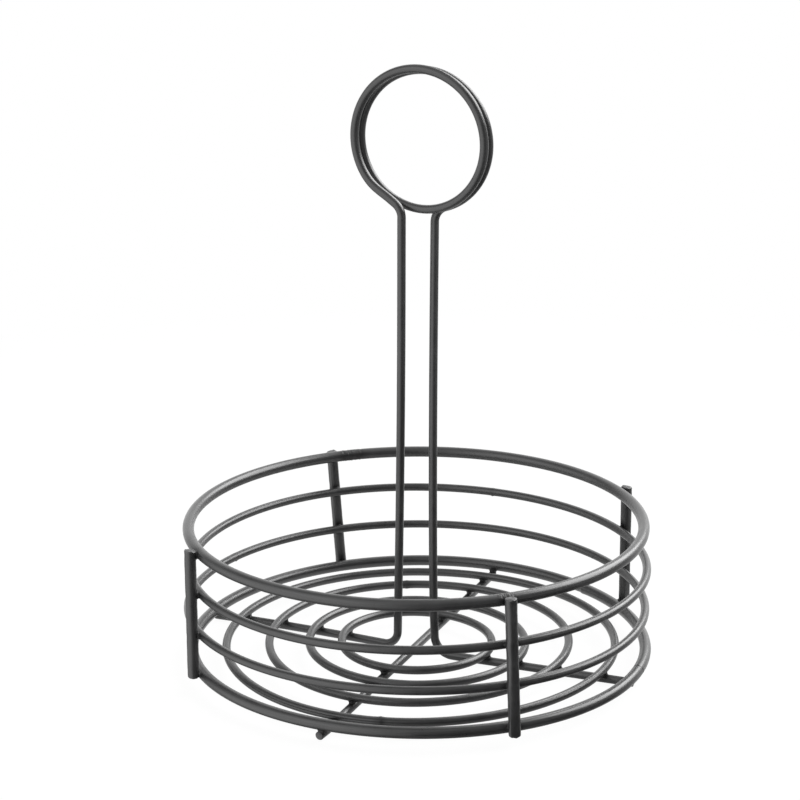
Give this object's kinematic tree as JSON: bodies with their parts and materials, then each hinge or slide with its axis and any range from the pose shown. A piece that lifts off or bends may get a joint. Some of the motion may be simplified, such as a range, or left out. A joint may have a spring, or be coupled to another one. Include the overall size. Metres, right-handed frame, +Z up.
{
  "type": "condiment rack",
  "caption": "Round open wire basket for sauce bottles and shakers, with a ringed floor, upright posts and a tall central handle wound into a finger loop.",
  "frame": {"origin": "on the table at the centre of the base, under the middle of the basket", "axes": "+Z up along the handle, +X to the right along the handle's feet, +Y to the rear along the floor bar, each to within 3 degrees"},
  "size_m": [0.204, 0.204, 0.2629],
  "materials": {
    "powder_coat": "satin black powder coat on steel wire"
  },
  "bodies": {
    "root": {"floor_cross_bar": "powder_coat", "handle_wire": "powder_coat", "floor_ring_1": "powder_coat", "floor_ring_2": "powder_coat", "floor_ring_3": "powder_coat", "floor_ring_4": "powder_coat", "bottom_ring": "powder_coat", "lower_side_ring": "powder_coat", "upper_side_ring": "powder_coat", "rim_ring": "powder_coat", "post_front_left": "powder_coat", "post_front_right": "powder_coat", "post_rear_left": "powder_coat", "post_rear_right": "powder_coat"}
  },
  "joints": []
}
